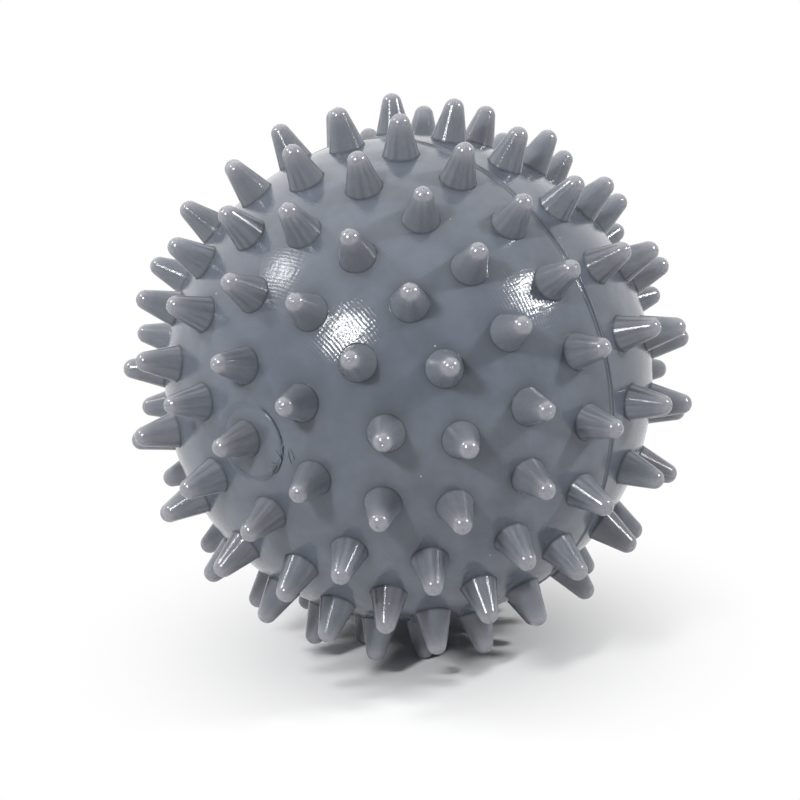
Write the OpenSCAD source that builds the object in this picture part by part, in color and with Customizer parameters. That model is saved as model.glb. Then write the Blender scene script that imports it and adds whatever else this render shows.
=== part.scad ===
// Spiky sensory ball: two like half shells of soft vinyl, welded rim to rim.
// The origin is the centre of the ball and +Z is up. The ball stands on four spikes,
// with its pole axis level along Y: the closed pole faces -Y and the air valve faces +Y.

/* [Ball] */
// Diameter of the skin, without the spikes
ball_d = 77; // [70:1:110]
// Thickness of the skin
wall = 2.2; // [1.8:0.1:3]

/* [Spikes] */
// Height of a spike above the skin
spike_h = 6.5; // [4.5:0.1:9]
// Width of a spike where it leaves the skin
spike_base_d = 5.7; // [4.8:0.1:6.4]
// Diameter of the round tip
spike_tip_d = 3.1; // [2.4:0.1:3.8]
// Depth of a spike's root inside the skin
spike_root = 1; // [0.6:0.1:1.4]
// Angle in degrees from the pole to the first ring of spikes
first_ring = 17; // [16.5:0.1:18]
// Angle in degrees from one ring of spikes to the next
ring_step = 16; // [15:0.1:16.2]

/* [Seam] */
// Width of the welded bead on the skin
bead_w = 1.4; // [0.8:0.1:1.6]
// Height of the bead above the skin
bead_h = 0.25; // [0.15:0.05:0.35]
// Depth of the bead's keel between the two rims
keel_depth = 0.7; // [0.4:0.1:1.2]

/* [Pole fittings] */
// Diameter of the hole through the skin at each pole
pole_hole_d = 11.8; // [10.6:0.1:12.6]
// Gap around a fitting in its pole hole
rim_gap = 0.2; // [0.1:0.05:0.3]
// Reach of a fitting's flange past the hole, under the skin
flange_reach = 2.2; // [1.5:0.1:4]
// Thickness of the flange
flange_t = 1.2; // [0.8:0.1:2]
// Thickness of the cement between two bonded faces
bond = 0.05; // [0.03:0.01:0.1]
// Angle in degrees by which the plug's spike sits off the pole
plug_off_angle = 1.4; // [0:0.1:2]
// Direction in degrees of that offset, seen from in front and counted from +X towards +Z
plug_off_side = 150; // [0:5:355]

/* [Air valve] */
// Diameter of the air way through the valve bush
bore_d = 3.6; // [3:0.1:4.5]
// Outer diameter of the bush's neck inside the ball
neck_d = 7.2; // [6.4:0.1:9]
// Length of the neck below the inside of the skin
neck_l = 8; // [5:0.5:12]
// Diameter of the stopper's head
head_d = 7.6; // [6.4:0.1:8.4]
// Thickness of the stopper's head at its rim
head_t = 1.4; // [1:0.1:1.8]
// Gap around the head in its recess
head_gap = 0.2; // [0.1:0.05:0.3]
// Running gap around the stem in the air way
stem_gap = 0.05; // [0.02:0.01:0.08]
// Gap between the closed head and its seat
seat_gap = 0.05; // [0.02:0.01:0.1]
// Width of the notch where a nail lifts the head
notch_d = 2.4; // [1.8:0.1:3]

/* [Hidden] */

// Spikes in each ring, from the ring next to the pole to the ring next to the seam
ring_counts = [6, 12, 17, 20, 22];
// The rear shell is turned about the pole axis by this many gaps of the last ring
rear_turn = 8;

// Overrun of a cut past the solid that it cuts
over = 1;
$fn = 96;
spike_fn = 32;

ball_r = ball_d / 2;
inner_r = ball_r - wall;
last_pitch = 360 / ring_counts[len(ring_counts) - 1];
// The spikes next to the seam straddle the lowest point, half a gap to each side
front_spin = 270 + last_pitch / 2;
rear_spin = front_spin + rear_turn * last_pitch;

// Height from the centre of the ball at which a spike's base circle lies
base_r = spike_base_d / 2;
base_z = sqrt(ball_r * ball_r - base_r * base_r);
tip_r = spike_tip_d / 2;
tip_z = ball_r + spike_h - tip_r;
// The spike's side runs from the base circle and touches the round tip
side_run = tip_z - base_z;
side_angle = atan2(base_r, side_run) - asin(tip_r / norm([base_r, side_run]));
root_r = base_r + spike_root * tan(side_angle);
shoulder_r = tip_r * cos(side_angle);
shoulder_z = tip_z + tip_r * sin(side_angle);

// Heights of the valve's parts along the pole axis
fitting_d = pole_hole_d - 2 * rim_gap;
flange_r = pole_hole_d / 2 + flange_reach;
flange_top = inner_r - bond;
flange_bottom = flange_top - flange_t;
neck_z = inner_r - neck_l;
recess_r = head_d / 2 + head_gap;
head_rim_z = sqrt(ball_r * ball_r - head_d * head_d / 4);
seat_z = head_rim_z - head_t;
stem_r = bore_d / 2 - stem_gap;

// One spike along +Z, with its root in the skin
module spike() {
    rotate_extrude($fn = spike_fn)
        intersection() {
            union() {
                polygon([
                    [0, base_z - spike_root],
                    [root_r, base_z - spike_root],
                    [shoulder_r, shoulder_z],
                    [0, shoulder_z]
                ]);
                translate([0, tip_z])
                    circle(r = tip_r);
            }
            translate([0, base_z - spike_root])
                square([ball_r, ball_r]);
        }
}

// The rings of spikes of one half, around its pole
module spike_rings() {
    for (ring = [0 : len(ring_counts) - 1])
        for (k = [0 : ring_counts[ring] - 1])
            rotate([0, first_ring + ring * ring_step, k * 360 / ring_counts[ring]])
                spike();
}

// One half of the skin above the seam plane, with its pole on +Z
module half_shell() {
    difference() {
        union() {
            difference() {
                sphere(r = ball_r);
                sphere(r = inner_r);
                translate([0, 0, -ball_d])
                    cube([2 * ball_d, 2 * ball_d, 2 * ball_d], center = true);
            }
            spike_rings();
        }
        translate([0, 0, inner_r - wall])
            cylinder(d = pole_hole_d, h = 2 * wall + over);
        rotate_extrude()
            keel_profile(bond);
    }
}

// Outline of the wedge between the two rims, grown by a gap
module keel_profile(gap) {
    half_w = bead_w / 2 + gap;
    keel_r = ball_r - keel_depth - gap;
    polygon([
        [keel_r, -half_w / 2],
        [ball_r, -half_w],
        [ball_r + over, -half_w],
        [ball_r + over, half_w],
        [ball_r, half_w],
        [keel_r, half_w / 2]
    ]);
}

// The disc and flange that close a pole hole from inside, with the pole on +Z
module pole_fitting() {
    difference() {
        intersection() {
            sphere(r = ball_r);
            union() {
                cylinder(d = fitting_d, h = ball_r + over);
                intersection() {
                    sphere(r = flange_top);
                    cylinder(r = flange_r, h = ball_r);
                }
            }
        }
        sphere(r = flange_bottom);
    }
}

// Places children made with the pole on +Z at the front pole or at the rear pole
module at_front_pole() {
    rotate([90, 0, 0])
        rotate([0, 0, front_spin])
            children();
}

module at_rear_pole() {
    rotate([-90, 0, 0])
        rotate([0, 0, -rear_spin])
            children();
}

module front_shell() {
    color("slategray")
        at_front_pole()
            half_shell();
}

module rear_shell() {
    color("slategray")
        at_rear_pole()
            half_shell();
}

// Two round ridges side by side on a keel that fills the wedge between the rims
module seam_bead() {
    ridge_r = bead_w / 4;
    color("lightslategray")
        at_front_pole()
            rotate_extrude()
                intersection() {
                    keel_profile(0);
                    union() {
                        circle(r = ball_r);
                        for (side = [-1, 1])
                            translate([ball_r + bead_h - ridge_r, side * ridge_r])
                                circle(r = ridge_r, $fn = spike_fn);
                    }
                }
}

// The closing plug of the front pole carries the pole's own spike
module pole_plug() {
    color("slategray")
        at_front_pole()
            union() {
                pole_fitting();
                rotate([0, plug_off_angle, plug_off_side - front_spin])
                    spike();
            }
}

// The bush of the rear pole has a recess for the stopper's head and a neck for its stem
module valve_bush() {
    color("slategray")
        at_rear_pole()
            difference() {
                union() {
                    pole_fitting();
                    translate([0, 0, neck_z])
                        cylinder(d = neck_d, h = seat_z - neck_z);
                }
                translate([0, 0, seat_z])
                    cylinder(r = recess_r, h = head_t + wall + over);
                translate([recess_r, 0, seat_z + head_t / 4])
                    cylinder(d = notch_d, h = head_t + wall + over);
                translate([0, 0, neck_z - over])
                    cylinder(d = bore_d, h = neck_l + wall + over);
            }
}

// The stopper slides straight out of the bush
module air_plug() {
    color("dimgray")
        at_rear_pole()
            union() {
                intersection() {
                    sphere(r = ball_r);
                    translate([0, 0, seat_z + seat_gap])
                        cylinder(d = head_d, h = wall + over);
                }
                translate([0, 0, neck_z + stem_r])
                    cylinder(r = stem_r, h = seat_z + wall / 2 - neck_z - stem_r);
                translate([0, 0, neck_z + stem_r])
                    sphere(r = stem_r);
            }
}

front_shell();
rear_shell();
seam_bead();
pole_plug();
valve_bush();
air_plug();
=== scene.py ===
"""Spiky sensory ball in soft grey vinyl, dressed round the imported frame, in metres."""

import math
import random

import bmesh
import bpy
import numpy as np
from mathutils import Matrix, Vector


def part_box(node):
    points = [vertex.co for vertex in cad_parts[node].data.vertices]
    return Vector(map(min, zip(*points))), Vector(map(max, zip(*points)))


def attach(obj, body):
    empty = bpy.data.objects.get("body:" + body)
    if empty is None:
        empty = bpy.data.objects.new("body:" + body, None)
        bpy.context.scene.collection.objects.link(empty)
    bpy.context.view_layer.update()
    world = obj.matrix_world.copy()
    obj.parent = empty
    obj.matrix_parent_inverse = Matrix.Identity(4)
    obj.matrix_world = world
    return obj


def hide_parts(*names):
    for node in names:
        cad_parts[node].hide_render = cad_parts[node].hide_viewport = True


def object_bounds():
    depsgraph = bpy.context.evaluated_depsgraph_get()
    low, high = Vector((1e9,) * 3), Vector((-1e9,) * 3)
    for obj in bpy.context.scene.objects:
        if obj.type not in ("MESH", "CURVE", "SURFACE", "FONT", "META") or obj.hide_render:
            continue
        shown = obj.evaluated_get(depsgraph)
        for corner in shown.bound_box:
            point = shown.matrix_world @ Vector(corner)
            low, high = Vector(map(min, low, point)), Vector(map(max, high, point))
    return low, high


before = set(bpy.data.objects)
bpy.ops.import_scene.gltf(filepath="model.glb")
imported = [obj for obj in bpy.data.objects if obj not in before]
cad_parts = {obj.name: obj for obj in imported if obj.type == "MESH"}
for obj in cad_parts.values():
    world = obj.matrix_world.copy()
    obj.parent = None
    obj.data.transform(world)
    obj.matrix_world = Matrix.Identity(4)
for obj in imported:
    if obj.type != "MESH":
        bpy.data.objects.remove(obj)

cad_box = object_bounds()
MM = 0.001

# Sizes of the part, as in its source
BEAD_H = 0.25 * MM
BEAD_W = 1.4 * MM
KEEL_DEPTH = 0.7 * MM
SKIN_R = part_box("seam_bead")[1][0] - BEAD_H
WALL = 2.2 * MM
BOND = 0.05 * MM
SPIKE_H = 6.5 * MM
SPIKE_BASE_R = 2.85 * MM
SPIKE_TIP_R = 1.55 * MM
SPIKE_ROOT = 1.0 * MM
FIRST_RING = math.radians(17)
RING_STEP = math.radians(16)
RING_COUNTS = (6, 12, 17, 20, 22)
REAR_TURN = 8
LAST_PITCH = math.tau / RING_COUNTS[-1]
FRONT_SPIN = math.radians(270) + LAST_PITCH / 2
REAR_SPIN = FRONT_SPIN + REAR_TURN * LAST_PITCH
HOLE_R = 5.9 * MM
RIM_GAP = 0.2 * MM
FLANGE_REACH = 2.2 * MM
FLANGE_T = 1.2 * MM
PLUG_OFF_ANGLE = math.radians(1.4)
PLUG_OFF_SIDE = math.radians(150)
BORE_R = 1.8 * MM
NECK_R = 3.6 * MM
NECK_L = 8 * MM
HEAD_R = 3.8 * MM
HEAD_T = 1.4 * MM
HEAD_GAP = 0.2 * MM
STEM_GAP = 0.05 * MM
SEAT_GAP = 0.05 * MM
NOTCH_R = 1.2 * MM
NOTCH_RISE = 0.35 * MM

# Sizes that follow from them
INNER_R = SKIN_R - WALL
DISC_R = HOLE_R - RIM_GAP
FLANGE_R = HOLE_R + FLANGE_REACH
FLANGE_TOP = INNER_R - BOND
FLANGE_BOTTOM = FLANGE_TOP - FLANGE_T
NECK_Z = INNER_R - NECK_L
STEM_R = BORE_R - STEM_GAP
RECESS_R = HEAD_R + HEAD_GAP
SEAT_Z = math.sqrt(SKIN_R ** 2 - HEAD_R ** 2) - HEAD_T

FRONT_POLE = Matrix.Rotation(math.radians(90), 4, "X")
REAR_POLE = Matrix.Rotation(math.radians(-90), 4, "X")
FRONT_FRAME = FRONT_POLE @ Matrix.Rotation(FRONT_SPIN, 4, "Z")
REAR_FRAME = REAR_POLE @ Matrix.Rotation(-REAR_SPIN, 4, "Z")

# The camera, fitted to the photograph
CAMERA_AT = Vector((6.2671, -7.9702, 2.9456)) * SKIN_R
CAMERA_RIGHT = Vector((0.791, 0.6102, -0.0439))
CAMERA_UP = Vector((-0.1422, 0.2532, 0.9569))
CAMERA_BACK = CAMERA_RIGHT.cross(CAMERA_UP)
FOCAL_PX = 2563.4
FRAME_PX = 800
SENSOR_MM = 36


def skin_point(px, py):
    """The point of the skin that the photograph shows at a pixel."""
    middle = FRAME_PX / 2
    sight = CAMERA_RIGHT * (px - middle) + CAMERA_UP * (middle - py) - CAMERA_BACK * FOCAL_PX
    sight.normalize()
    along = -CAMERA_AT.dot(sight)
    miss = CAMERA_AT.length_squared - along ** 2
    return CAMERA_AT + sight * (along - math.sqrt(SKIN_R ** 2 - miss))


# Mesh helpers

# A point this close to the axis lies on it
ON_AXIS = 1e-9


def new_object(name, mesh, material=None):
    piece = bpy.data.objects.new(name, mesh)
    bpy.context.scene.collection.objects.link(piece)
    if material:
        mesh.materials.clear()
        mesh.materials.append(material)
    return piece


def arc(centre, radius, start, end, steps):
    """Points (r, z) along an arc, with angles in degrees counted from +r towards +z."""
    angles = [math.radians(start + (end - start) * i / steps) for i in range(steps + 1)]
    return [(centre[0] + radius * math.cos(a), centre[1] + radius * math.sin(a)) for a in angles]


def on_sphere(radius, r):
    """The point (r, z) of a sphere's outline at a distance r from the axis."""
    return (r, math.sqrt(radius ** 2 - r ** 2))


def tilt(radius, r):
    """The angle in degrees between the axis and that point."""
    return math.degrees(math.asin(r / radius))


def revolve(outline, segments, closed=False):
    """A bmesh of an outline of points (r, z) turned about Z.

    An open outline starts and ends on the axis.
    """
    bm = bmesh.new()
    turns = [math.tau * k / segments for k in range(segments)]
    rows = []
    for r, z in outline:
        if r < ON_AXIS:
            rows.append([bm.verts.new((0, 0, z))])
        else:
            rows.append([bm.verts.new((r * math.cos(t), r * math.sin(t), z)) for t in turns])
    pairs = list(zip(rows, rows[1:]))
    if closed:
        pairs.append((rows[-1], rows[0]))
    for low, high in pairs:
        for k in range(segments):
            n = (k + 1) % segments
            corners = [low[k % len(low)], low[n % len(low)]]
            corners += [high[n % len(high)], high[k % len(high)]]
            bm.faces.new(list(dict.fromkeys(corners)))
    bmesh.ops.recalc_face_normals(bm, faces=bm.faces)
    return bm


def close_rings(bm, rows):
    """Faces between neighbouring rows of vertices. Each row and the chain of rows are closed."""
    for here, there in zip(rows, rows[1:] + rows[:1]):
        for i in range(len(here)):
            j = (i + 1) % len(here)
            bm.faces.new((here[i], there[i], there[j], here[j]))
    bmesh.ops.recalc_face_normals(bm, faces=bm.faces)


def to_mesh(bm, name):
    mesh = bpy.data.meshes.new(name)
    bm.to_mesh(mesh)
    bm.free()
    return mesh


def add_bmesh(bm, other):
    """Adds another bmesh to bm, and uses it up."""
    mesh = to_mesh(other, "part")
    bm.from_mesh(mesh)
    bpy.data.meshes.remove(mesh)


def combine(base, tool, operation="UNION"):
    """Unites base with tool, or cuts base by it, uses tool up and returns the new mesh."""
    material = base.data.materials[0]
    cut = base.modifiers.new("combine", "BOOLEAN")
    cut.operation = operation
    cut.solver = "MANIFOLD"
    cut.object = tool
    graph = bpy.context.evaluated_depsgraph_get()
    mesh = bpy.data.meshes.new_from_object(base.evaluated_get(graph))
    base.modifiers.remove(cut)
    bpy.data.objects.remove(tool)
    base.data = mesh
    mesh.materials.clear()
    mesh.materials.append(material)
    return mesh


def column(source, name, width, dtype=np.float64):
    """One attribute of a mesh's vertices, faces or corners as an array."""
    values = np.zeros(len(source) * width, dtype)
    source.foreach_get(name, values)
    return values.reshape(-1, width) if width > 1 else values


def nearest_spike(points, axes):
    """The points in the frame of the spike nearest to each, those frames' turns and numbers."""
    directions = np.array([a.col[2][:3] for a in axes])
    nearest = (points @ directions.T).argmax(1)
    turns = np.array([np.array(a.to_3x3()).T for a in axes])[nearest]
    return np.einsum("nij,nj->ni", turns, points), turns, nearest


# Normals

CREASE = math.radians(28)
STOPPER_CREASE = math.radians(40)
CEMENT_CREASE = math.radians(50)
# A face is skin where its corners lie in this band about the skin and it faces outwards
SKIN_BELOW = 0.009 * MM
SKIN_ABOVE = 0.002 * MM
SKIN_FACING = 0.97
# Any other face is a spike's where its centre lies above this depth
SPIKE_BELOW = 0.006 * MM
# The normals round the dimple are left alone out to this many times its radius
DIMPLE_SPREAD = 1.3


def crease_edges(mesh, crease):
    """Smooth shading, with edges made sharp where their faces turn by more than the crease."""
    bm = bmesh.new()
    bm.from_mesh(mesh)
    for edge in bm.edges:
        edge.smooth = edge.calc_face_angle(0) < crease
    for face in bm.faces:
        face.smooth = True
    bm.to_mesh(mesh)
    bm.free()


def spike_normals(local):
    """The true normals of a spike's fillet, side and dome at points of its own frame."""
    across = np.linalg.norm(local[:, :2], axis=1)
    lean, shoulder, tip_z = spike_slope()
    # The fillet turns the normal from the skin's to the side's as it rises
    rise = np.linalg.norm(local, axis=1) - SKIN_R
    turn = np.arctan2(across, local[:, 2]) + np.arccos(np.clip(1 - rise / FILLET_R, -1, 1))
    turn = np.minimum(turn, math.pi / 2 - lean)[:, None]
    outward = local[:, :2] / np.maximum(across, ON_AXIS)[:, None]
    side = np.concatenate([outward * np.sin(turn), np.cos(turn)], 1)
    dome = (local - (0, 0, tip_z)) / SPIKE_TIP_R
    return np.where((local[:, 2] < shoulder[1])[:, None], side, dome)


def smooth_normals(mesh, axes=(), crease=CREASE):
    """Smooth shading with sharp creases, and the true normals of the sphere and of the spikes."""
    crease_edges(mesh, crease)
    normals = column(mesh.corner_normals, "vector", 3)
    points = column(mesh.vertices, "co", 3)
    corner_point = column(mesh.loops, "vertex_index", 1, np.int32)
    corner_counts = column(mesh.polygons, "loop_total", 1, np.int32)
    corner_face = np.repeat(np.arange(len(mesh.polygons)), corner_counts)
    centres = column(mesh.polygons, "center", 3)
    reach = np.linalg.norm(points, axis=1)
    outward = points / reach[:, None]
    centre_reach = np.linalg.norm(centres, axis=1)
    facing = (column(mesh.polygons, "normal", 3) * centres).sum(1) / centre_reach
    on_skin = (reach > SKIN_R - SKIN_BELOW) & (reach < SKIN_R + SKIN_ABOVE)
    off_corners = np.bincount(corner_face, ~on_skin[corner_point], len(mesh.polygons))
    skin_face = (off_corners == 0) & (facing > SKIN_FACING)
    corner_skin = skin_face[corner_face]
    normals[corner_skin] = outward[corner_point[corner_skin]]
    if axes:
        corner_spike = ~corner_skin & (centre_reach > SKIN_R - SPIKE_BELOW)[corner_face]
        local, turns, _ = nearest_spike(points[corner_point[corner_spike]], axes)
        true = np.einsum("nji,nj->ni", turns, spike_normals(local))
        true /= np.linalg.norm(true, axis=1)[:, None]
        across = np.linalg.norm(local[:, :2], axis=1)
        _, _, tip_z = spike_slope()
        in_dimple = (across < DIMPLE_R * DIMPLE_SPREAD) & (local[:, 2] > tip_z)
        normals[corner_spike] = np.where(in_dimple[:, None], normals[corner_spike], true)
    mesh.normals_split_custom_set(normals.tolist())


# Painted shade darkens the skin from a spike's foot outwards, standing in for the spike's shadow
# and the shade round its foot, in millimetres from its axis
SPIKE_SHADE_START = 2.35
SPIKE_SHADE_END = 5.4
# Each spike has its own number up to this, which shifts its streaks and picks its warmth
LOT_RANGE = 90


def mark_spikes(mesh, axes):
    """Stores on each vertex what the materials need of its nearest spike.

    The attribute spike_at is the vertex's place in the spike's own frame in millimetres, with z
    counted from the skin. Then spike_near falls from 1 at the spike to 0 where the painted shade
    round it ends, and spike_lot is the spike's own number.
    """
    local, _, nearest = nearest_spike(column(mesh.vertices, "co", 3), axes)
    local /= MM
    local[:, 2] -= SKIN_R / MM
    near = (SPIKE_SHADE_END - np.linalg.norm(local[:, :2], axis=1)) / (SPIKE_SHADE_END - SPIKE_SHADE_START)
    lots = np.array([random.Random(i).uniform(0, LOT_RANGE) for i in range(len(axes))])
    for name, kind, key, values in (
        ("spike_at", "FLOAT_VECTOR", "vector", local.ravel()),
        ("spike_near", "FLOAT", "value", np.clip(near, 0, 1)),
        ("spike_lot", "FLOAT", "value", lots[nearest]),
    ):
        attribute = mesh.attributes.new(name, kind, "POINT")
        attribute.data.foreach_set(key, values.astype(np.float32))


# Spikes

SPIKE_SEGMENTS = 42
SIDE_STEPS = 5
FILLET_STEPS = 6
DOME_STEPS = 9
FILLET_R = 0.22 * MM
FILLET_SINK = 0.01 * MM
DIMPLE_R = 0.26 * MM
DIMPLE_DEPTH = 0.13 * MM
# The dome ends at this many times the dimple's radius
DIMPLE_RIM = 1.4
# The dimple's shape in shares of its radius and depth
DIMPLE = ((1, 0.3), (0.75, 0.6), (0.35, 0.93), (0, 1))
# A spike's tilt off its true place, in degrees each way
SPIKE_TILT = 0.25


def spike_slope():
    """The side's lean, the shoulder's (r, z) and the height of the tip's centre."""
    base_z = math.sqrt(SKIN_R ** 2 - SPIKE_BASE_R ** 2)
    tip_z = SKIN_R + SPIKE_H - SPIKE_TIP_R
    run = tip_z - base_z
    reach = math.hypot(SPIKE_BASE_R, run)
    lean = math.atan2(SPIKE_BASE_R, run) - math.asin(SPIKE_TIP_R / reach)
    shoulder = (SPIKE_TIP_R * math.cos(lean), tip_z + SPIKE_TIP_R * math.sin(lean))
    return lean, shoulder, tip_z


def spike_fillet():
    """Points (r, z) of the fillet at a spike's foot, from just under the skin upwards."""
    lean, _, _ = spike_slope()
    start = Vector((SPIKE_BASE_R, math.sqrt(SKIN_R ** 2 - SPIKE_BASE_R ** 2)))
    start += Vector((math.cos(lean), math.sin(lean))) * FILLET_R
    along = Vector((-math.sin(lean), math.cos(lean)))
    reach = SKIN_R + FILLET_R - FILLET_SINK
    back = start.dot(along)
    centre = start + along * (math.sqrt(back ** 2 - start.length_squared + reach ** 2) - back)
    foot = 180 + math.degrees(math.atan2(centre.y, centre.x))
    return arc(centre, FILLET_R, foot, 180 + math.degrees(lean), FILLET_STEPS)


def spike_outline():
    """Points (r, z) of a spike from its root in the skin to the small vent dimple on its tip."""
    lean, shoulder, tip_z = spike_slope()
    root_z = math.sqrt(SKIN_R ** 2 - SPIKE_BASE_R ** 2) - SPIKE_ROOT
    fillet = spike_fillet()
    foot, top = fillet[0], fillet[-1]
    side = [
        tuple(t + (s - t) * i / SIDE_STEPS for t, s in zip(top, shoulder))
        for i in range(1, SIDE_STEPS)
    ]
    rim = math.degrees(math.acos(DIMPLE_RIM * DIMPLE_R / SPIKE_TIP_R))
    dome = arc((0, tip_z), SPIKE_TIP_R, math.degrees(lean), rim, DOME_STEPS)
    top_z = tip_z + SPIKE_TIP_R
    dimple = [(DIMPLE_R * r, top_z - DIMPLE_DEPTH * fall) for r, fall in DIMPLE]
    return [(0, root_z), (foot[0], root_z)] + fillet + side + dome + dimple


def tilted(spike_frame, dice):
    """A spike's frame, a little off its true place as moulded vinyl is."""
    for axis in "XY":
        off = math.radians(dice.uniform(-SPIKE_TILT, SPIKE_TILT))
        spike_frame = spike_frame @ Matrix.Rotation(off, 4, axis)
    return spike_frame


def spike_frames(seed):
    """The frame of each spike of one half, with the pole on +Z, in that half's own frame."""
    dice = random.Random(seed)
    frames = []
    for ring, count in enumerate(RING_COUNTS):
        from_pole = Matrix.Rotation(FIRST_RING + ring * RING_STEP, 4, "Y")
        for k in range(count):
            turn = Matrix.Rotation(math.tau * k / count, 4, "Z")
            frames.append(tilted(turn @ from_pole, dice))
    return frames


def spikes_object(frames):
    """The spikes of a list of frames as one object."""
    bm = bmesh.new()
    for spike_frame in frames:
        one = revolve(spike_outline(), SPIKE_SEGMENTS)
        one.transform(spike_frame)
        add_bmesh(bm, one)
    return new_object("spikes", to_mesh(bm, "spikes"))


def spiked(body, frames, pole_frame):
    """A body with the pole on +Z, with spikes moulded in one with it, then put in its place."""
    mesh = combine(body, spikes_object(frames))
    smooth_normals(mesh, frames)
    mark_spikes(mesh, frames)
    mesh.transform(pole_frame)
    return body


# Skin

SHELL_SEGMENTS = 240
OUTER_STEPS = 60
INNER_STEPS = 30
# Size of the broken edge of the pole hole
HOLE_EDGE = 0.22 * MM


def shell_outline():
    """Closed outline (r, z) of one half of the skin, with the pole on +Z."""
    lip = tilt(SKIN_R, BEAD_W / 2 + BOND)
    outer = arc((0, 0), SKIN_R, lip, 90 - tilt(SKIN_R, HOLE_R + HOLE_EDGE), OUTER_STEPS)
    wall_down = [(HOLE_R, on_sphere(SKIN_R, HOLE_R)[1] - HOLE_EDGE)]
    inner = arc((0, 0), INNER_R, 90 - tilt(INNER_R, HOLE_R), 0, INNER_STEPS)
    keel_r = SKIN_R - KEEL_DEPTH - BOND
    rim = [(keel_r, 0), (keel_r, BEAD_W / 4 + BOND / 2)]
    return outer + wall_down + inner + rim


def shell(name, pole_frame, seed, material):
    """One half of the skin with its rings of spikes."""
    body = to_mesh(revolve(shell_outline(), SHELL_SEGMENTS, closed=True), name)
    return spiked(new_object(name, body, material), spike_frames(seed), pole_frame)


# Seam

SEAM_STATIONS = 25
SEAM_SEGMENTS = 900
# The two ridges: greatest rise, least share of it, place and width across the seam, and sway
RIDGE_RISE = 0.21 * MM
RIDGE_LEAST = 0.35
RIDGE_AT = 0.4 * MM
RIDGE_WIDTH = 0.15 * MM
RIDGE_SWAY = 0.05 * MM
# Waves of each ridge's rise and sway along the seam, as (count, phase)
RISE_WAVES = (((7, 0.4), (19, 1.1), (43, 2.0)), ((5, 2.1), (23, 0.3), (37, 1.7)))
SWAY_WAVES = ((9, 0), (11, 2))
# The groove between the ridges
GROOVE_DEPTH = 0.1 * MM
GROOVE_WIDTH = 0.11 * MM
# Stretches with a step between the rims, as (start, end, share), in degrees from +X towards +Z
RIM_STEPS = ((-52, -14, 1.0), (28, 55, 0.6))
STEP_SOFT = 8
STEP_AT = -0.22 * MM
STEP_DEPTH = 0.3 * MM
STEP_WIDTH = 0.13 * MM
# Share by which a step lowers the first ridge
STEP_LOWERS = 0.8
# The bead's edges lie a little under the skin, and its top a little under the source's
EDGE_SINK = 0.01 * MM
TOP_SHARE = 0.95


def ripple(turn, *waves):
    """A sum of sines of a turn, from 0 to 1. Each wave is (count, phase)."""
    waved = sum(math.sin(count * turn + phase) for count, phase in waves)
    return 0.5 + 0.5 * waved / len(waves)


def window(turn, start, end, soft):
    """1 between two angles in degrees and 0 outside, with soft ends."""
    off = (math.degrees(turn) - start) % 360
    span = (end - start) % 360
    rise = min(off, span - off) / soft if off < span else 0
    return max(0.0, min(1.0, rise))


def bell(across, centre, width):
    return math.exp(-((across - centre) / width) ** 2)


def weld_outline(turn):
    """Closed outline (r, y) of the weld and its keel at a turn of the seam."""
    step = sum(share * window(turn, start, end, STEP_SOFT) for start, end, share in RIM_STEPS)
    ridges = []
    for side, rises, (count, phase) in zip((-1, 1), RISE_WAVES, SWAY_WAVES):
        rise = RIDGE_RISE * (RIDGE_LEAST + (1 - RIDGE_LEAST) * ripple(turn, *rises))
        if side < 0:
            rise *= 1 - STEP_LOWERS * step
        sway = RIDGE_SWAY * math.sin(count * turn + phase)
        ridges.append((rise, side * RIDGE_AT + sway))
    half = BEAD_W / 2 + BOND
    outline = []
    for i in range(SEAM_STATIONS):
        across = half * (2 * i / (SEAM_STATIONS - 1) - 1)
        height = sum(rise * bell(across, centre, RIDGE_WIDTH) for rise, centre in ridges)
        height -= GROOVE_DEPTH * bell(across, 0, GROOVE_WIDTH)
        height -= STEP_DEPTH * step * bell(across, STEP_AT, STEP_WIDTH)
        if i in (0, SEAM_STATIONS - 1):
            height = -EDGE_SINK
        outline.append((SKIN_R + min(height, TOP_SHARE * BEAD_H), across))
    keel_r = SKIN_R - KEEL_DEPTH
    return outline + [(keel_r, BEAD_W / 4), (keel_r, -BEAD_W / 4)]


def seam_bead(material):
    """The weld: two uneven low ridges with a groove between, and a step where the rims differ."""
    bm = bmesh.new()
    rows = []
    for k in range(SEAM_SEGMENTS):
        turn = math.tau * k / SEAM_SEGMENTS
        c, s = math.cos(turn), math.sin(turn)
        rows.append([bm.verts.new((r * c, y, r * s)) for r, y in weld_outline(turn)])
    close_rings(bm, rows)
    for face in bm.faces:
        face.smooth = True
    return new_object("welded_seam", to_mesh(bm, "welded_seam"), material)


# Fittings

FITTING_SEGMENTS = 128
NOTCH_SEGMENTS = 48
STOPPER_SEGMENTS = 96
# Steps of the arcs under the flange, over it, across the plug's face and round small edges
UNDER_STEPS = 8
OVER_STEPS = 4
FACE_STEPS = 14
EDGE_STEPS = 4
CORNER_STEPS = 3
ROLL_STEPS = 6
STEM_STEPS = 10
# Angles in degrees at which the rounded edges run into the domed faces
PLUG_EDGE_END = 80
BUSH_OUTER_END = 82
BUSH_INNER_START = 84
HEAD_EDGE_END = 84
# The plug's rounded rim, and the depth of its face below the skin
PLUG_EDGE = 0.3 * MM
PLUG_DROP = 0.03 * MM
# The bush's rounded edges, the ends of its air way and the corner of its recess
BUSH_EDGE = 0.25 * MM
BORE_EDGE = 0.2 * MM
SEAT_CORNER = 0.15 * MM
# The stopper's rolled rim, the edge under its head, the fillet of its stem and its depth
HEAD_EDGE = 0.3 * MM
UNDER_EDGE = 0.15 * MM
STEM_FILLET = 0.12 * MM
HEAD_DROP = 0.01 * MM
# The dish and the gate mark on the head, as (distance from the axis, depth) in millimetres
DISH = ((3.2, 0), (2.9, 0), (2.7, 0.02), (2.5, 0.08), (2.3, 0.11), (1.6, 0.12), (0.85, 0.12))
GATE_MARK = ((0.7, 0.1), (0.55, 0.06), (0.3, 0.05), (0, 0.05))


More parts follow.
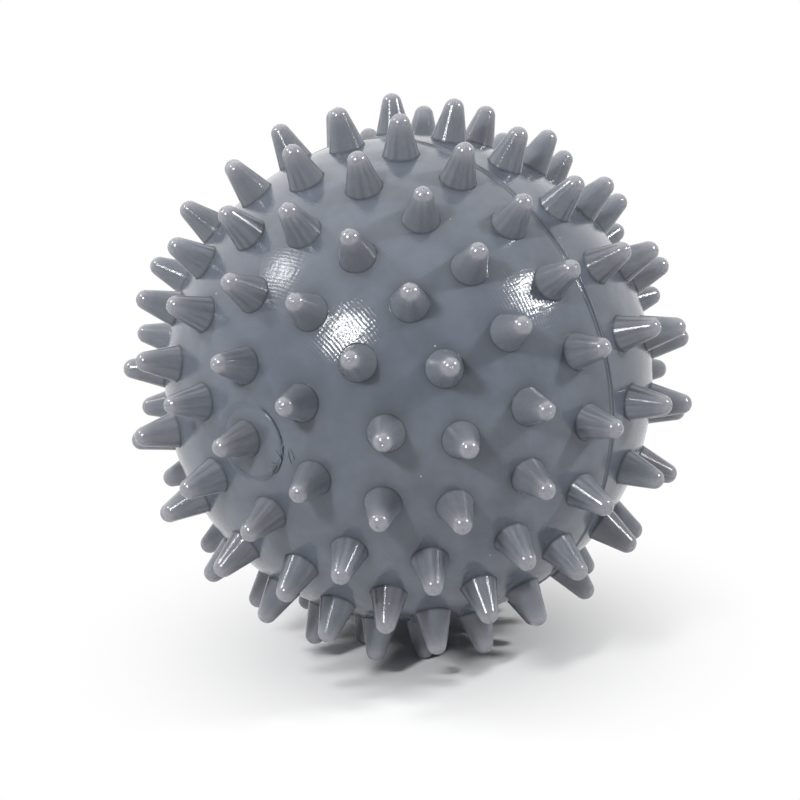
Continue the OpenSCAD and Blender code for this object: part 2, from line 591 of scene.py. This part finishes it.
def plug_outline():
    """Outline (r, z) of the plug's disc and flange, up the outside and over to the axis."""
    face_r = SKIN_R - PLUG_DROP
    edge_r = DISC_R - PLUG_EDGE
    under_end = 90 - tilt(FLANGE_BOTTOM, FLANGE_R)
    under = arc((0, 0), FLANGE_BOTTOM, 90, under_end, UNDER_STEPS)
    over_start = 90 - tilt(FLANGE_TOP, FLANGE_R)
    over = arc((0, 0), FLANGE_TOP, over_start, 90 - tilt(FLANGE_TOP, DISC_R), OVER_STEPS)
    corner_z = on_sphere(face_r, edge_r)[1] - PLUG_EDGE
    corner = arc((edge_r, corner_z), PLUG_EDGE, 0, PLUG_EDGE_END, EDGE_STEPS)
    face = arc((0, 0), face_r, 90 - tilt(face_r, edge_r), 90, FACE_STEPS)
    under[0] = (0, under[0][1])
    face[-1] = (0, face[-1][1])
    return under + over + corner + face


def pole_plug(material):
    """The closing plug with its spike, which sits a little off the pole."""
    body = to_mesh(revolve(plug_outline(), FITTING_SEGMENTS), "closing_plug")
    off = Matrix.Rotation(PLUG_OFF_SIDE, 4, "Z") @ Matrix.Rotation(PLUG_OFF_ANGLE, 4, "Y")
    return spiked(new_object("closing_plug", body, material), [off], FRONT_POLE)


def bush_outline():
    """Closed outline (r, z) of the bush: neck, flange, disc, recess and air way."""
    edge = BUSH_EDGE
    outer_r = DISC_R - edge
    inner_r = RECESS_R + edge
    low = [(BORE_R + BORE_EDGE, NECK_Z)]
    low += arc((NECK_R - edge, NECK_Z + edge), edge, -90, 0, EDGE_STEPS)
    low += [on_sphere(FLANGE_BOTTOM, r) for r in (NECK_R, (NECK_R + FLANGE_R) / 2, FLANGE_R)]
    rise = [on_sphere(FLANGE_TOP, r) for r in (FLANGE_R, (FLANGE_R + DISC_R) / 2, DISC_R)]
    outer_z = on_sphere(SKIN_R, outer_r)[1] - edge
    rise += arc((outer_r, outer_z), edge, 0, BUSH_OUTER_END, EDGE_STEPS)
    rise += [on_sphere(SKIN_R, outer_r - (outer_r - inner_r) * share) for share in (0.33, 0.67)]
    inner_z = on_sphere(SKIN_R, inner_r)[1] - edge
    rise += arc((inner_r, inner_z), edge, BUSH_INNER_START, 180, EDGE_STEPS + 1)
    corner = (RECESS_R - SEAT_CORNER, SEAT_Z + SEAT_CORNER)
    seat = arc(corner, SEAT_CORNER, 0, -90, CORNER_STEPS)
    seat += arc((BORE_R + BORE_EDGE, SEAT_Z - BORE_EDGE), BORE_EDGE, 90, 180, EDGE_STEPS)
    return low + rise + seat + [(BORE_R, NECK_Z + BORE_EDGE)]


def valve_bush(material):
    """The bush of the air way, with a notch for a nail in its rim."""
    body = to_mesh(revolve(bush_outline(), FITTING_SEGMENTS, closed=True), "valve_bush_rim")
    base = new_object("valve_bush_rim", body, material)
    notch_z = SEAT_Z + NOTCH_RISE
    above = SKIN_R + MM
    notch = [(0, notch_z)]
    notch += arc((NOTCH_R - BUSH_EDGE, notch_z + BUSH_EDGE), BUSH_EDGE, -90, 0, EDGE_STEPS)
    notch += [(NOTCH_R, above), (0, above)]
    tool = new_object("notch", to_mesh(revolve(notch, NOTCH_SEGMENTS), "notch"))
    tool.data.transform(Matrix.Translation((RECESS_R, 0, 0)))
    mesh = combine(base, tool, "DIFFERENCE")
    smooth_normals(mesh)
    mesh.transform(REAR_FRAME)
    return base


def stopper(material):
    """The stopper: a domed head with a rolled rim and a gate mark, on a stem with a round end."""
    under = SEAT_Z + SEAT_GAP
    top_r = SKIN_R - HEAD_DROP
    stem = arc((0, NECK_Z + STEM_R), STEM_R, -90, 0, STEM_STEPS)
    stem[0] = (0, stem[0][1])
    root = (STEM_R + STEM_FILLET, under - STEM_FILLET)
    fillet = arc(root, STEM_FILLET, 180, 90, CORNER_STEPS)
    rim = arc((HEAD_R - UNDER_EDGE, under + UNDER_EDGE), UNDER_EDGE, -90, 0, CORNER_STEPS)
    rim_r = HEAD_R - HEAD_EDGE
    rim_z = on_sphere(top_r, rim_r)[1] - HEAD_EDGE
    rim += arc((rim_r, rim_z), HEAD_EDGE, 0, HEAD_EDGE_END, ROLL_STEPS)
    dish = [(r * MM, on_sphere(top_r, r * MM)[1] - fall * MM) for r, fall in DISH]
    gate = [(r * MM, top_r - fall * MM) for r, fall in GATE_MARK]
    turned = revolve(stem + fillet + rim + dish + gate, STOPPER_SEGMENTS)
    piece = new_object("stopper_body", to_mesh(turned, "stopper_body"), material)
    smooth_normals(piece.data, crease=STOPPER_CREASE)
    piece.data.transform(REAR_FRAME)
    return piece


# Cement round the plug

CEMENT_SEGMENTS = 360
# Across the groove, as (distance from the pole in millimetres, share of the sunk depth)
CEMENT_PROFILE = (
    (5.3, 0), (5.44, 0), (5.54, 0.25), (5.64, 0.75), (5.74, 1),
    (5.84, 1), (5.94, 0.85), (6.04, 0.4), (6.14, 0), (6.26, 0),
)
# Stretches where the cement has sunk, as (start, end, soft ends, depth in millimetres)
CEMENT_SINKS = ((-58, 78, 30, 0.3), (-125, -50, 20, 0.07))
CEMENT_WAVES = ((31, 0.2), (53, 1.0), (17, 2.0))
# Least share of the depth and how much the waves add to it
CEMENT_RAG = (0.75, 0.5)
CEMENT_PROUD = 0.004 * MM
CEMENT_T = 0.6 * MM
# Threads of squeezed cement beside the plug, in photo pixels
CEMENT_THREADS = (
    ((274.7, 450.3), (277.5, 453.5), (280.6, 458.4), (280.9, 461), (279, 465)),
    ((287.9, 448.1), (290.8, 451), (293, 455.4), (294.1, 460.6)),
    ((288.4, 449.6), (288.2, 455.4), (289.6, 460), (291.6, 464.2)),
    ((232.1, 462.8), (234.4, 466.2), (237.3, 470.1)),
    ((271, 462.5), (274.5, 464.6), (279.5, 464.2), (277.8, 469.5), (275, 473)),
    ((268, 477), (271, 475.2), (273.5, 472)),
    ((283, 443), (281.5, 449), (282.5, 455)),
)
THREAD_SIDES = 6
THREAD_R = 0.17 * MM
# Height of a thread's section and thickness of its ends, in shares of its radius
THREAD_HEIGHT = 0.9
THREAD_POINT = 0.15


def thread(places):
    """A bmesh of a thin round thread, half sunk in the skin, with pointed ends."""
    corners = [skin_point(*place) for place in places]
    points = []
    for a, b in zip(corners, corners[1:]):
        points += [a.lerp(b, share).normalized() * SKIN_R for share in (0, 0.5)]
    points.append(corners[-1])
    last = len(points) - 1
    turns = [math.tau * k / THREAD_SIDES for k in range(THREAD_SIDES)]
    bm = bmesh.new()
    rings = []
    for i, point in enumerate(points):
        ahead = points[min(i + 1, last)] - points[max(i - 1, 0)]
        up = point.normalized()
        across = ahead.cross(up).normalized()
        thick = THREAD_R * (THREAD_POINT if i in (0, last) else 1)
        section = [across * math.cos(a) + up * math.sin(a) * THREAD_HEIGHT for a in turns]
        rings.append([bm.verts.new(point + off * thick) for off in section])
    for here, there in zip(rings, rings[1:]):
        for k in range(THREAD_SIDES):
            n = (k + 1) % THREAD_SIDES
            bm.faces.new((here[k], there[k], there[n], here[n]))
    bm.faces.new(rings[0])
    bm.faces.new(rings[-1])
    bmesh.ops.recalc_face_normals(bm, faces=bm.faces)
    return bm


def cement_outline(turn):
    """Closed outline (r, z) of the cement at a turn about the pole, with the pole on +Z."""
    least, more = CEMENT_RAG
    sunk = sum(deep * window(turn, start, end, soft) for start, end, soft, deep in CEMENT_SINKS)
    depth = sunk * (least + more * ripple(turn, *CEMENT_WAVES)) * MM
    outline = []
    for width, share in CEMENT_PROFILE:
        r, z = on_sphere(SKIN_R, width * MM)
        outline.append((r, z + CEMENT_PROUD - depth * share))
    for width, _ in (CEMENT_PROFILE[-1], CEMENT_PROFILE[0]):
        r, z = on_sphere(SKIN_R, width * MM)
        outline.append((r, z - CEMENT_T))
    return outline


def plug_cement(material):
    """Cement in the groove round the plug: flush on the left, low on the right, with threads."""
    bm = bmesh.new()
    rows = []
    for k in range(CEMENT_SEGMENTS):
        turn = math.tau * k / CEMENT_SEGMENTS
        c, s = math.cos(turn), math.sin(turn)
        rows.append([bm.verts.new((r * c, -z, r * s)) for r, z in cement_outline(turn)])
    close_rings(bm, rows)
    for places in CEMENT_THREADS:
        add_bmesh(bm, thread(places))
    mesh = to_mesh(bm, "plug_cement")
    smooth_normals(mesh, crease=CEMENT_CREASE)
    return new_object("plug_cement", mesh, material)


# Materials

def srgb(*levels):
    """Linear colour of 8-bit display levels."""
    out = []
    for level in levels:
        c = level / 255
        out.append(c / 12.92 if c <= 0.04045 else ((c + 0.055) / 1.055) ** 2.4)
    return (*out, 1.0)


class Nodes:
    """Adds and links shader nodes in the tree of a new material or world."""

    def __init__(self, owner):
        owner.use_nodes = True
        self.owner = owner
        self.tree = owner.node_tree
        self.shader = self.tree.nodes.get("Principled BSDF")

    def add(self, kind, **settings):
        node = self.tree.nodes.new(kind)
        for key, value in settings.items():
            setattr(node, key, value)
        return node

    def link(self, source, target):
        self.tree.links.new(source, target)

    def feed(self, socket, value):
        if isinstance(value, bpy.types.NodeSocket):
            self.link(value, socket)
        else:
            socket.default_value = value

    def math(self, operation, a, b=0.0, clamp=False):
        node = self.add("ShaderNodeMath", operation=operation, use_clamp=clamp)
        self.feed(node.inputs[0], a)
        self.feed(node.inputs[1], b)
        return node.outputs[0]

    def times(self, first, *others):
        for other in others:
            first = self.math("MULTIPLY", first, other)
        return first

    def one_minus(self, value):
        return self.math("SUBTRACT", 1.0, value)

    def at_least(self, value, least):
        """A value from 0 to 1 raised to run from least to 1."""
        return self.math("ADD", self.times(value, 1 - least), least)

    def vector(self, operation, a, b=None):
        node = self.add("ShaderNodeVectorMath", operation=operation)
        self.feed(node.inputs[0], a)
        if b is not None:
            self.feed(node.inputs[1], b)
        as_number = operation in ("LENGTH", "DISTANCE", "DOT_PRODUCT")
        return node.outputs["Value" if as_number else "Vector"]

    def scaled(self, vector, factors):
        return self.vector("MULTIPLY", vector, factors)

    def split(self, vector):
        node = self.add("ShaderNodeSeparateXYZ")
        self.feed(node.inputs[0], vector)
        return node.outputs

    def attribute(self, name, output="Fac"):
        return self.add("ShaderNodeAttribute", attribute_name=name).outputs[output]

    def ramp(self, value, low, high, to_low=0.0, to_high=1.0, kind="LINEAR"):
        node = self.add("ShaderNodeMapRange", interpolation_type=kind)
        self.feed(node.inputs["Value"], value)
        node.inputs["From Min"].default_value = low
        node.inputs["From Max"].default_value = high
        node.inputs["To Min"].default_value = to_low
        node.inputs["To Max"].default_value = to_high
        return node.outputs["Result"]

    def smooth(self, value, low, high):
        """0 below low, 1 above high, and a smooth ramp between."""
        return self.ramp(value, low, high, kind="SMOOTHSTEP")

    def noise(self, vector, scale, detail, roughness):
        node = self.add("ShaderNodeTexNoise")
        self.feed(node.inputs["Vector"], vector)
        node.inputs["Scale"].default_value = scale
        node.inputs["Detail"].default_value = detail
        node.inputs["Roughness"].default_value = roughness
        return node.outputs["Fac"]

    def mix(self, share, a, b):
        node = self.add("ShaderNodeMix", data_type="RGBA")
        self.feed(node.inputs[0], share)
        self.feed(node.inputs[6], a)
        self.feed(node.inputs[7], b)
        return node.outputs[2]

    def bump(self, height, distance, normal=None):
        node = self.add("ShaderNodeBump")
        node.inputs["Strength"].default_value = 1.0
        node.inputs["Distance"].default_value = distance
        self.feed(node.inputs["Height"], height)
        if normal:
            self.link(normal, node.inputs["Normal"])
        return node.outputs["Normal"]


SKIN_TONES = (srgb(86, 92, 102), srgb(96, 102, 113))
BEAD_TONES = (srgb(76, 81, 90), srgb(84, 89, 98))
CEMENT_TONES = (srgb(90, 96, 105), srgb(98, 104, 113))
STOPPER_TONES = (srgb(72, 76, 82), srgb(80, 84, 90))
WARM_SHAFT_TONES = (srgb(101, 102, 108), srgb(106, 107, 113))
COOL_SHAFT_TONES = (srgb(102, 107, 116), srgb(107, 112, 120))
TIP_TONES = (srgb(121, 121, 129), srgb(129, 129, 137))
# The dark colour that painted shade mixes in, round the spikes and in the grooves
PAINTED_SHADE_TONE = srgb(52, 55, 60)
SMEAR_TONE = srgb(70, 76, 79)
SPECK_TONE = srgb(190, 192, 198)

# Noises, as (scale per millimetre, detail, roughness)
MOTTLE = (0.12, 3, 0.6)
FINE = (2.6, 4, 0.65)
STREAKS = (4.0, 2, 0.5)
SMEAR_EDGE = (1.6, 3, 0.6)
SWELL = (0.09, 2, 0.4)
GRAIN = (5.0, 3, 0.7)
RINGS = (1.0, 1, 0.5)
WANDER = (0.5, 2, 0.5)
LINE_PATCHES = (0.25, 2, 0.6)
CROSSING = (1.0, 1, 0.5)
CROSS_PATCHES = (0.3, 2, 0.6)
# Levels of the noises between which the looks change over
TONE_SPAN = (0.3, 0.7)
TIP_TONE_SPAN = (0.4, 0.65)
LINE_SPAN = (0.35, 0.7)
CROSS_SPAN = (0.35, 0.6)
# Squeeze of the noises along a spike, for its streaks and its turned rings
STREAK_STRETCH = (1.0, 1.0, 0.06)
RING_STRETCH = (0.3, 0.3, 8.0)

# Heights above the skin in millimetres over which a zone begins or ends
SPIKE_BEGINS = (0.02, 0.2)
FOOT_BEGINS = (0.0, 0.015)
FOOT_ENDS = (0.15, 0.45)
TIP_BEGINS = (3.4, 6.4)
SIDE_ENDS = (4.3, 5.2)

# Share by which the painted shade round each spike darkens the skin at its foot
SPIKE_SHADE_SHARE = 0.32
WARM_SHARE = 0.6
# The cement's dark smear: place in photo pixels, reach and raggedness in millimetres, share
SMEAR_PLACE = (275.6, 468.8)
SMEAR_REACH = (1.2, 1.7)
SMEAR_RAG = 1.5
SMEAR_SHARE = 0.7
# Specks: cells per millimetre, radius in cells, odds and share
SPECK_SCALE = 0.22
SPECK_R = 0.03
SPECK_ODDS = 0.6
SPECK_SHARE = 0.7
# How dust and painted shade in the grooves and at the spikes' feet darken the colour, and what
# the dust does to the roughness and the gloss
DUST_SHADE_SHARE = 0.45
DULL_ROUGHNESS = 0.15
DULL_GLOSS = 0.9

VINYL_ROUGHNESS = 0.115
ROUGHNESS_SPREAD = (-0.03, 0.05)
TIP_ROUGHNESS = 0.05
TIP_SPECULAR = 0.6
VINYL_IOR = 1.52
SUBSURFACE_WEIGHT = 0.12
SUBSURFACE_RADIUS = (1.0, 0.95, 1.0)
SUBSURFACE_SCALE = 1.2 * MM

SWELL_DEPTH = 0.06 * MM
GRAIN_DEPTH = 0.0012 * MM
STREAK_DEPTH = 0.0012 * MM
RING_DEPTH = 0.014 * MM
# Cutter lines round the pole axis, with pitches in millimetres
LINE_PITCH = 0.55
LINE_WANDER = 0.7
LINE_LEAST = 0.6
LINE_DEPTH = 0.009 * MM
# Lines that cross them: pitch, length, width of the bands in which they run straight, least share
CROSS_PITCH = 0.52
CROSS_REACH = 2.2
CROSS_BAND = 6.0
CROSS_LEAST = 0.5
CROSS_DEPTH = 0.036 * MM


class Vinyl(Nodes):
    """Glossy moulded vinyl. Its textures count in millimetres."""

    def __init__(self, name):
        super().__init__(bpy.data.materials.new(name))
        self.at = self.scaled(self.add("ShaderNodeTexCoord").outputs["Object"], (1 / MM,) * 3)
        self.reach = self.vector("LENGTH", self.at)
        self.height = self.math("SUBTRACT", self.reach, SKIN_R / MM)
        self.spike_at = self.attribute("spike_at", "Vector")
        self.spike_lot = self.attribute("spike_lot")
        up = self.split(self.spike_at)[2]
        self.on_spike = self.smooth(self.height, *SPIKE_BEGINS)
        self.on_tip = self.times(self.smooth(up, *TIP_BEGINS), self.on_spike)
        self.on_side = self.times(self.one_minus(self.smooth(up, *SIDE_ENDS)), self.on_spike)
        self.fine = self.noise(self.at, *FINE)
        self.streaks = self.along_spike(STREAK_STRETCH, STREAKS)

    def along_spike(self, stretch, look):
        """A noise in the spike's own frame, different on each spike."""
        place = self.vector("ADD", self.scaled(self.spike_at, stretch), self.spike_lot)
        return self.noise(place, *look)

    def dust_and_shade(self, foot_share, groove_depth):
        """Dust and painted shade in the grooves and at the foot of each spike, from 0 to 1."""
        groove = self.one_minus(self.smooth(self.height, -2 * groove_depth, -groove_depth))
        foot = self.smooth(self.height, *FOOT_BEGINS)
        foot = self.times(foot, self.one_minus(self.smooth(self.height, *FOOT_ENDS)))
        return self.math("MAXIMUM", groove, self.times(foot, foot_share))

    def skin_and_spikes(self, tones):
        """Mottled skin with painted shade close to the spikes, warmer and cooler shafts and pale
        tips.
        """
        skin = self.mix(self.smooth(self.noise(self.at, *MOTTLE), *TONE_SPAN), *tones)
        # Painted shade: the skin darkens towards each spike, where its shadow and shade fall
        spike_shade = self.smooth(self.attribute("spike_near"), 0.0, 1.0)
        skin = self.mix(self.times(spike_shade, spike_shade, SPIKE_SHADE_SHARE), skin, PAINTED_SHADE_TONE)
        streaked = self.smooth(self.streaks, *TONE_SPAN)
        warmer = self.mix(streaked, *WARM_SHAFT_TONES)
        cooler = self.mix(streaked, *COOL_SHAFT_TONES)
        warm = self.times(self.math("FRACT", self.spike_lot), WARM_SHARE)
        colour = self.mix(self.on_spike, skin, self.mix(warm, cooler, warmer))
        tip = self.mix(self.smooth(self.fine, *TIP_TONE_SPAN), *TIP_TONES)
        return self.mix(self.on_tip, colour, tip)

    def smeared(self, colour):
        """A dark greenish smear of cement below right of the plug."""
        off = self.vector("DISTANCE", self.at, skin_point(*SMEAR_PLACE) / MM)
        rag = self.times(self.noise(self.at, *SMEAR_EDGE), SMEAR_RAG)
        smear = self.one_minus(self.smooth(self.math("ADD", off, rag), *SMEAR_REACH))
        return self.mix(self.times(smear, SMEAR_SHARE), colour, SMEAR_TONE)

    def specked(self, colour):
        """Sparse pale specks."""
        cells = self.add("ShaderNodeTexVoronoi")
        self.link(self.at, cells.inputs["Vector"])
        cells.inputs["Scale"].default_value = SPECK_SCALE
        chance = self.add("ShaderNodeSeparateColor")
        self.link(cells.outputs["Color"], chance.inputs[0])
        inside = self.math("LESS_THAN", cells.outputs["Distance"], SPECK_R)
        chosen = self.math("LESS_THAN", chance.outputs[0], SPECK_ODDS)
        return self.mix(self.times(inside, chosen, SPECK_SHARE), colour, SPECK_TONE)

    def relief(self):
        """Low swells, grain, streaks along the spikes and fine turned rings round their sides."""
        normal = self.bump(self.noise(self.at, *SWELL), SWELL_DEPTH)
        normal = self.bump(self.noise(self.at, *GRAIN), GRAIN_DEPTH, normal)
        normal = self.bump(self.times(self.streaks, self.on_spike), STREAK_DEPTH, normal)
        rings = self.along_spike(RING_STRETCH, RINGS)
        return self.bump(self.times(rings, self.on_side), RING_DEPTH, normal)

    def cutter_lines(self, normal):
        """Lines round the pole axis, crossed by broken ones that run from the pole."""
        x, y, z = self.split(self.at)
        off_spike = self.one_minus(self.on_spike)
        angle = self.math("ARCCOSINE", self.math("DIVIDE", y, self.reach))
        arc_length = self.times(angle, SKIN_R / MM)
        wander = self.times(self.noise(self.at, *WANDER), LINE_WANDER)
        rows = self.math("ADD", self.math("DIVIDE", arc_length, LINE_PITCH), wander)
        bowl = self.math("ABSOLUTE", self.math("SUBTRACT", self.math("FRACT", rows), 0.5))
        patch = self.smooth(self.noise(self.at, *LINE_PATCHES), *LINE_SPAN)
        # The square of the bowl reaches a quarter, so 4 times it runs from 0 to 1
        lines = self.times(bowl, bowl, 4.0, self.at_least(patch, LINE_LEAST))
        normal = self.bump(self.times(lines, off_spike), LINE_DEPTH, normal)
        # The crossing lines keep one radius over each band, so that they run straight in it
        off_axis = self.vector("LENGTH", self.scaled(self.at, (1.0, 0.0, 1.0)))
        bands = self.math("ROUND", self.math("DIVIDE", off_axis, CROSS_BAND))
        stretch = self.times(bands, CROSS_BAND / CROSS_PITCH)
        stretch = self.math("DIVIDE", stretch, off_axis)
        place = self.add("ShaderNodeCombineXYZ")
        self.link(self.times(x, stretch), place.inputs[0])
        self.link(self.math("DIVIDE", arc_length, CROSS_REACH), place.inputs[1])
        self.link(self.times(z, stretch), place.inputs[2])
        crossing = self.noise(place.outputs[0], *CROSSING)
        patch = self.smooth(self.noise(self.at, *CROSS_PATCHES), *CROSS_SPAN)
        crossing = self.times(crossing, self.at_least(patch, CROSS_LEAST), off_spike)
        return self.bump(crossing, CROSS_DEPTH, normal)


def vinyl(name, tones=SKIN_TONES, roughness=VINYL_ROUGHNESS, specular=0.5, foot_share=0.9,
          groove_depth=0.11, with_lines=True):
    """A vinyl material. The depth of its grooves, which get dust and painted shade, is in
    millimetres.
    """
    n = Vinyl(name)
    dust_shade = n.dust_and_shade(foot_share, groove_depth)
    colour = n.specked(n.smeared(n.skin_and_spikes(tones)))
    # Dust and painted shade darken the grooves and the spikes' feet
    n.link(n.mix(n.times(dust_shade, DUST_SHADE_SHARE), colour, PAINTED_SHADE_TONE), n.shader.inputs["Base Color"])

    low, high = (roughness + spread for spread in ROUGHNESS_SPREAD)
    rough = n.math("ADD", n.ramp(n.fine, 0.0, 1.0, low, high), n.times(dust_shade, DULL_ROUGHNESS))
    rough = n.math("ADD", rough, n.times(n.on_tip, TIP_ROUGHNESS))
    n.link(rough, n.shader.inputs["Roughness"])
    gloss = n.times(n.one_minus(n.times(dust_shade, DULL_GLOSS)), specular)
    gloss = n.math("ADD", gloss, n.times(n.on_tip, TIP_SPECULAR))
    n.link(gloss, n.shader.inputs["Specular IOR Level"])
    n.shader.inputs["IOR"].default_value = VINYL_IOR
    n.shader.inputs["Subsurface Weight"].default_value = SUBSURFACE_WEIGHT
    n.shader.inputs["Subsurface Radius"].default_value = SUBSURFACE_RADIUS
    n.shader.inputs["Subsurface Scale"].default_value = SUBSURFACE_SCALE

    normal = n.relief()
    if with_lines:
        normal = n.cutter_lines(normal)
    n.link(normal, n.shader.inputs["Normal"])
    return n.owner


SKIN = vinyl("skin")
PLAIN = vinyl("fitting", with_lines=False)
BEAD = vinyl("bead", BEAD_TONES, foot_share=0.0, with_lines=False)
CEMENT = vinyl("cement", CEMENT_TONES, roughness=0.34, specular=0.15, foot_share=0.0,
               groove_depth=0.06, with_lines=False)
STOPPER = vinyl("stopper", STOPPER_TONES, roughness=0.26, with_lines=False)


# The object

front = shell("front_half", FRONT_FRAME, seed=11, material=SKIN)
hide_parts("front_shell")
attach(front, "ball")

rear = shell("rear_half", REAR_FRAME, seed=23, material=SKIN)
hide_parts("rear_shell")
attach(rear, "ball")

seam = seam_bead(BEAD)
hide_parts("seam_bead")
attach(seam, "ball")

plug = pole_plug(PLAIN)
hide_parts("pole_plug")
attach(plug, "ball")

cement = plug_cement(CEMENT)
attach(cement, "ball")

bush = valve_bush(PLAIN)
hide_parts("valve_bush")
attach(bush, "ball")

air_stopper = stopper(STOPPER)
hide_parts("air_plug")
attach(air_stopper, "stopper")


# Camera, lamps, room and floor

camera_data = bpy.data.cameras.new("camera")
camera_data.sensor_width = SENSOR_MM
camera_data.lens = FOCAL_PX / FRAME_PX * SENSOR_MM
camera = bpy.data.objects.new("camera", camera_data)
bpy.context.scene.collection.objects.link(camera)
camera_turn = Matrix((CAMERA_RIGHT, CAMERA_UP, CAMERA_BACK)).transposed()
camera.matrix_world = Matrix.Translation(CAMERA_AT) @ camera_turn.to_4x4()
bpy.context.scene.camera = camera

# Direction to each lamp, worked out from its highlight on the skin
LAMPS = {
    "left_lamp": Vector((-0.592, -0.429, 0.682)),
    "front_lamp": Vector((0.084, -0.813, 0.575)),
    "right_lamp": Vector((0.735, 0.362, 0.577)),
}
LAMP_DISTANCE = 0.9
GLINT_SIZE = {"left_lamp": 0.12, "front_lamp": 0.19, "right_lamp": 0.16}
GLINT_POWER = {"left_lamp": 4.3, "front_lamp": 5.6, "right_lamp": 5.6}
SOFT_SIZE = 0.12
SOFT_POWER = {"left_lamp": 3.3, "front_lamp": 5.5, "right_lamp": 5.4}


def lamp(name, direction, size, power, glossy):
    """A square lamp that faces the ball and lights either gloss alone or all but gloss."""
    lamp_data = bpy.data.lights.new(name, "AREA")
    lamp_data.shape = "SQUARE"
    lamp_data.size = size
    lamp_data.energy = power
    piece = bpy.data.objects.new(name, lamp_data)
    piece.location = direction * LAMP_DISTANCE
    piece.rotation_euler = direction.to_track_quat("Z", "Y").to_euler()
    piece.visible_diffuse = not glossy
    piece.visible_glossy = glossy
    bpy.context.scene.collection.objects.link(piece)


for lamp_name, towards_lamp in LAMPS.items():
    lamp(lamp_name, towards_lamp, SOFT_SIZE, SOFT_POWER[lamp_name], False)
    lamp(lamp_name + "_glint", towards_lamp, GLINT_SIZE[lamp_name], GLINT_POWER[lamp_name], True)

# The room is a soft white, brightest overhead where the ceiling light is. Gloss mirrors the
# white backdrop behind the ball a little brighter than the room in front of it
OVERHEAD = (-0.3, 0.12, 0.94)
OVERHEAD_SPREAD = (0.35, 1.0)
ROOM_LEVEL = 0.04
OVERHEAD_LEVEL = 0.82
MIRRORED_NEAR = 0.46
MIRRORED_FAR = 1.3
world = bpy.data.worlds.new("world")
sky = Nodes(world)
background = sky.tree.nodes["Background"]
background.inputs["Color"].default_value = (1, 1, 1, 1)
sky_at = sky.add("ShaderNodeTexCoord").outputs["Generated"]
overhead = sky.vector("DOT_PRODUCT", sky_at, OVERHEAD)
room = sky.ramp(overhead, *OVERHEAD_SPREAD, ROOM_LEVEL, OVERHEAD_LEVEL, kind="SMOOTHSTEP")
behind = sky.vector("DOT_PRODUCT", sky_at, -CAMERA_BACK)
backdrop = sky.ramp(behind, -1.0, 1.0, MIRRORED_NEAR, MIRRORED_FAR)
sky_rays = sky.add("ShaderNodeLightPath")
mirrored = sky.math("ADD", sky.times(sky_rays.outputs["Is Glossy Ray"], backdrop), room)
# The camera sees plain white
seen_white = sky.add("ShaderNodeMix")
sky.link(sky_rays.outputs["Is Camera Ray"], seen_white.inputs[0])
sky.link(mirrored, seen_white.inputs[2])
seen_white.inputs[3].default_value = 1.0
sky.link(seen_white.outputs[0], background.inputs["Strength"])
bpy.context.scene.world = world

# The floor is matt white paper. Away from the ball's shadow it fades into the white backdrop
FLOOR_HALF = 3.0
FLOOR_TONE = (0.76, 0.76, 0.765, 1)
FLOOR_ROUGHNESS = 0.7
FADE_NEAR = 0.008
FADE_FAR = 0.062
FLOOR_CORNERS = ((-1, -1), (1, -1), (1, 1), (-1, 1))
floor_z = cad_box[0][2]
floor_mesh = bpy.data.meshes.new("floor")
floor_points = [(x * FLOOR_HALF, y * FLOOR_HALF, floor_z) for x, y in FLOOR_CORNERS]
floor_mesh.from_pydata(floor_points, [], [(0, 1, 2, 3)])
paper = Nodes(bpy.data.materials.new("floor"))
paper.shader.inputs["Base Color"].default_value = FLOOR_TONE
paper.shader.inputs["Roughness"].default_value = FLOOR_ROUGHNESS
paper.shader.inputs["Specular IOR Level"].default_value = 0.0
rays = paper.add("ShaderNodeLightPath")
seen = paper.math("ADD", rays.outputs["Is Camera Ray"], rays.outputs["Is Glossy Ray"])
seen = paper.math("ADD", seen, rays.outputs["Is Transmission Ray"], clamp=True)
paper_at = paper.add("ShaderNodeTexCoord").outputs["Object"]
away = paper.vector("LENGTH", paper.scaled(paper_at, (1, 1, 0)))
glow = paper.add("ShaderNodeEmission")
blend = paper.add("ShaderNodeMixShader")
paper.link(paper.times(seen, paper.smooth(away, FADE_NEAR, FADE_FAR)), blend.inputs[0])
paper.link(paper.shader.outputs[0], blend.inputs[1])
paper.link(glow.outputs[0], blend.inputs[2])
paper.link(blend.outputs[0], paper.tree.nodes["Material Output"].inputs["Surface"])
floor = new_object("floor", floor_mesh, paper.owner)

bpy.context.scene.view_settings.view_transform = "Standard"
